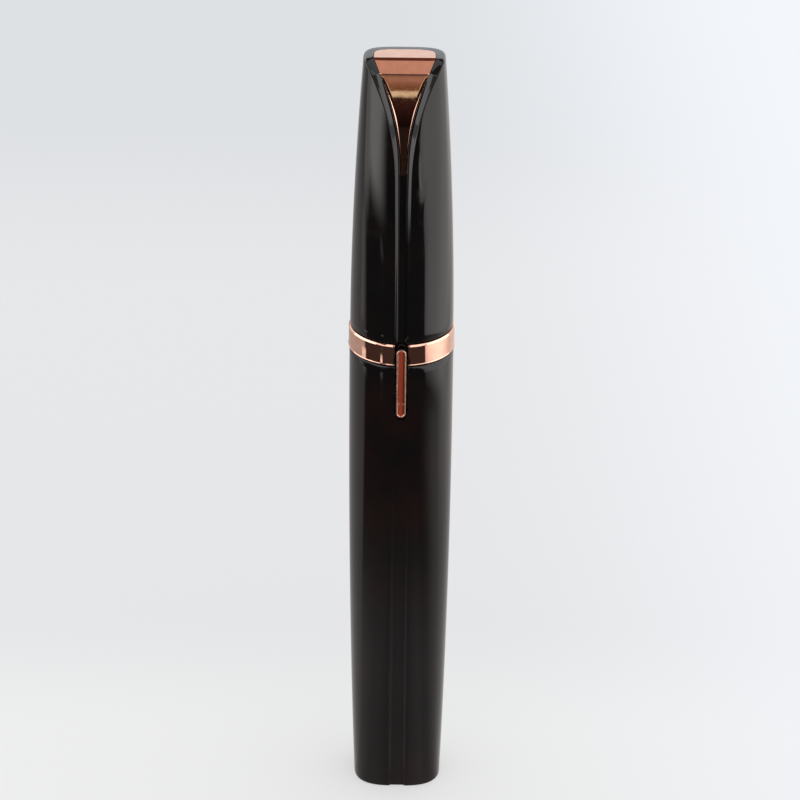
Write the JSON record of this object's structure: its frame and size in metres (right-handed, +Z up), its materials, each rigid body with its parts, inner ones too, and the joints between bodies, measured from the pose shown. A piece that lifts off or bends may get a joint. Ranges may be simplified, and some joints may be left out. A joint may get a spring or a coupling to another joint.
{
  "type": "electric eyebrow trimmer",
  "caption": "Pen-shaped eyebrow trimmer: black tapered barrel and pull-off cap, rose gold band, V inlay and slide switch, spinning cutter in a pull-off head.",
  "frame": {"origin": "centre of the flat base that the pen stands on", "axes": "+Z up the pen towards the cap, -Y towards the switch and the cap's inlay, +X to its right"},
  "size_m": [0.0178, 0.018, 0.1351],
  "materials": {
    "gloss_black": "glossy piano black",
    "matt_black": "fine matt",
    "rose_gold": "polished rose gold plating",
    "soft_gold": "polished gold plating",
    "steel": "satin",
    "nickel": "bright nickel plating",
    "cream_plastic": "satin",
    "white_plastic": "satin",
    "cell_jacket": "glossy printed film",
    "board_green": "lacquered board",
    "copper": "bare copper",
    "seal_rubber": "matt",
    "red_lead": "satin",
    "clear_lens": "clear moulded acrylic"
  },
  "bodies": {
    "barrel": {"barrel_shell": "gloss_black"},
    "core": {"chassis_tray": "matt_black", "motor_clamp": "matt_black", "battery_cell": "cell_jacket", "battery_spring": "nickel", "negative_contact": "nickel", "positive_contact": "nickel", "motor_can": "steel", "motor_end_cap": "cream_plastic", "motor_terminal_left": "copper", "motor_terminal_right": "copper", "motor_plate": "steel", "motor_screw_left": "steel", "motor_screw_right": "steel", "lead_black": "matt_black", "lead_red": "red_lead", "switch_board": "board_green", "slide_switch_case": "steel", "board_chip": "matt_black", "board_coil": "copper", "switch_track": "matt_black", "neck": "gloss_black", "neck_seal": "seal_rubber", "lamp_lens": "clear_lens", "lamp": "white_plastic", "lamp_lead_left": "steel", "lamp_lead_right": "steel", "collar_band": "rose_gold"},
    "cap": {"cap_shell": "gloss_black", "cap_inlay": "rose_gold", "cap_liner": "matt_black"},
    "switch": {"switch_bar": "rose_gold", "switch_carriage": "matt_black"},
    "rotor": {"motor_shaft": "steel", "drive_coupling": "cream_plastic"},
    "head": {"head_shell": "rose_gold", "head_bush": "white_plastic", "cutter_guard": "soft_gold"},
    "cutter": {"cutter_spindle": "white_plastic", "cutter_hub": "white_plastic", "cutter_blade": "steel"}
  },
  "joints": [
    {"name": "core_slide", "type": "slide", "parent": "barrel", "child": "core", "axis": [0, 0, 1], "range_m": [0, 0.082]},
    {"name": "cap_slide", "type": "slide", "parent": "core", "child": "cap", "axis": [0, 0, 1], "range_m": [0, 0.055]},
    {"name": "switch_slide", "type": "slide", "parent": "core", "child": "switch", "axis": [0, 0, 1], "range_m": [0, 0.001]},
    {"name": "rotor_spin", "type": "hinge", "parent": "core", "child": "rotor", "pos_m": [0, 0, 0.075], "axis": [0, 0, 1], "continuous": true},
    {"name": "head_slide", "type": "slide", "parent": "core", "child": "head", "axis": [0, 0, 1], "range_m": [0, 0.008]},
    {"name": "cutter_spin", "type": "hinge", "parent": "head", "child": "cutter", "pos_m": [0, 0, 0.116], "axis": [0, 0, 1], "continuous": true}
  ],
  "couplings": [
    {"joint": "cutter_spin", "follows": "rotor_spin", "ratio": 1}
  ]
}
